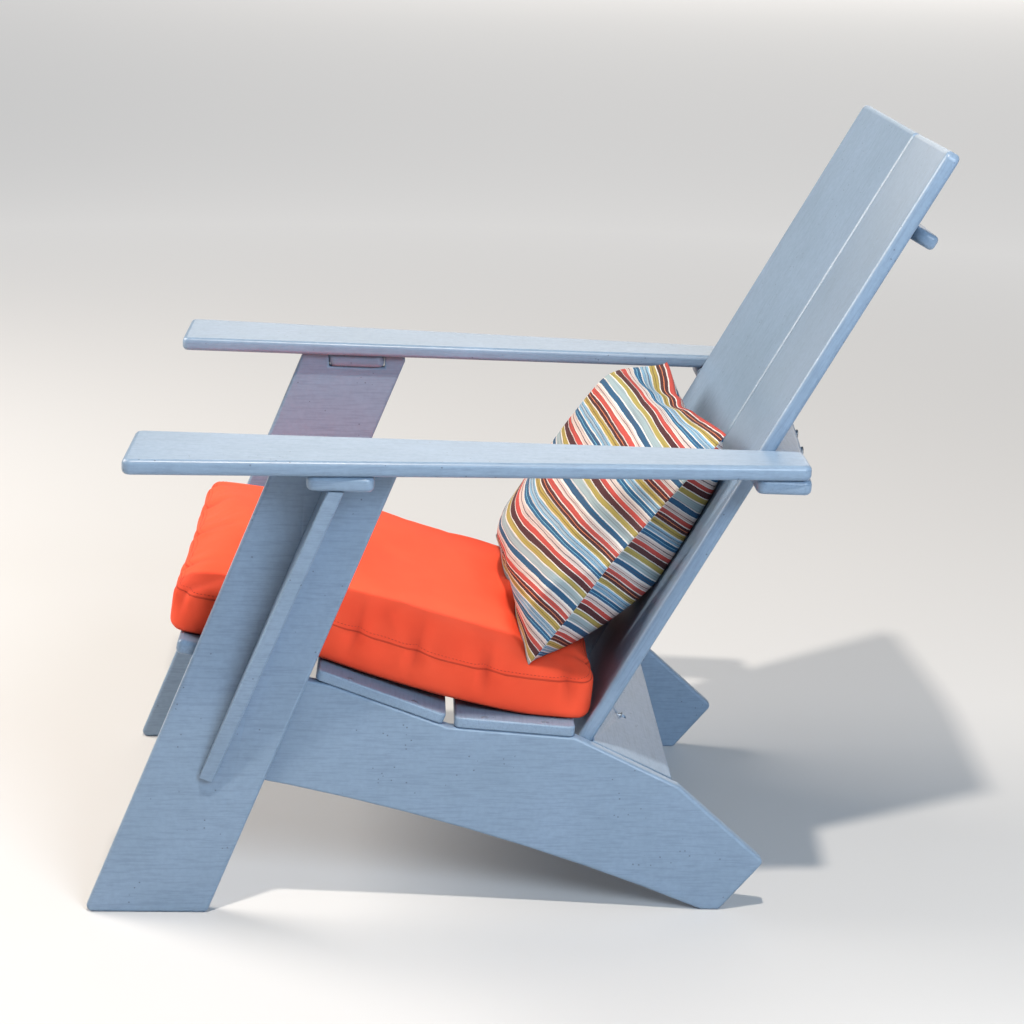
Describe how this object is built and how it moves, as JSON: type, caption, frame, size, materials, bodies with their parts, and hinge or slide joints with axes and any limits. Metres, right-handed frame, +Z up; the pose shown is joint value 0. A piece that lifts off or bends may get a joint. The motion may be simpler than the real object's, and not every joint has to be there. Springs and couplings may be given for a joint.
{
  "type": "adirondack chair",
  "caption": "Low garden lounge chair of plastic-lumber boards: slanted legs, wide flat arms, raked dished back, sloping slatted seat, with a loose seat cushion and a loose back pillow.",
  "frame": {"origin": "centre of the bounding box at ground level", "axes": "+Z up, -Y is the way the sitter faces, +X is the sitter's left"},
  "size_m": [0.6984, 0.915, 0.8419],
  "materials": {
    "lumber": "blue-grey high-density polyethylene lumber, satin, faintly sanded",
    "steel": "stainless steel",
    "coated_steel": "stainless steel coated to match the lumber",
    "orange_cloth": "woven outdoor fabric, orange",
    "striped_cloth": "woven outdoor fabric with wavy multicolour stripes"
  },
  "bodies": {
    "frame": {"arm_crosspiece": "lumber", "front_seat_slat": "lumber", "middle_seat_slat": "lumber", "rear_seat_slat": "lumber", "rear_stretcher": "lumber", "top_batten": "lumber", "left_arm": "lumber", "left_arm_plate": "lumber", "left_back_board": "lumber", "left_fin": "lumber", "left_leg": "lumber", "left_side_panel": "lumber", "right_arm": "lumber", "right_arm_plate": "lumber", "right_back_board": "lumber", "right_fin": "lumber", "right_leg": "lumber", "right_side_panel": "lumber", "left_arm_screw_1": "steel", "left_arm_screw_2": "steel", "left_batten_screw_1": "steel", "left_batten_screw_2": "steel", "left_crosspiece_screw_1": "steel", "left_crosspiece_screw_2": "steel", "left_fin_screw_1": "steel", "left_fin_screw_2": "steel", "left_front_slat_screw_1": "coated_steel", "left_front_slat_screw_2": "coated_steel", "left_leg_screw_1": "steel", "left_leg_screw_2": "steel", "left_middle_slat_screw_1": "coated_steel", "left_middle_slat_screw_2": "coated_steel", "left_plate_screw_1": "steel", "left_plate_screw_2": "steel", "left_rear_slat_screw_1": "coated_steel", "left_rear_slat_screw_2": "coated_steel", "left_stretcher_screw": "steel", "right_arm_screw_1": "steel", "right_arm_screw_2": "steel", "right_batten_screw_1": "steel", "right_batten_screw_2": "steel", "right_crosspiece_screw_1": "steel", "right_crosspiece_screw_2": "steel", "right_fin_screw_1": "steel", "right_fin_screw_2": "steel", "right_front_slat_screw_1": "coated_steel", "right_front_slat_screw_2": "coated_steel", "right_leg_screw_1": "steel", "right_leg_screw_2": "steel", "right_middle_slat_screw_1": "coated_steel", "right_middle_slat_screw_2": "coated_steel", "right_plate_screw_1": "steel", "right_plate_screw_2": "steel", "right_rear_slat_screw_1": "coated_steel", "right_rear_slat_screw_2": "coated_steel", "right_stretcher_screw": "steel"},
    "cushion": {"seat_cushion": "orange_cloth"},
    "pillow": {"striped_pillow": "striped_cloth"}
  },
  "joints": [
    {"name": "cushion_lift", "type": "slide", "parent": "frame", "child": "cushion", "axis": [0, 0, 1], "range_m": [0, 0.35]},
    {"name": "pillow_lift", "type": "slide", "parent": "cushion", "child": "pillow", "axis": [0, 0, 1], "range_m": [0, 0.3]}
  ]
}
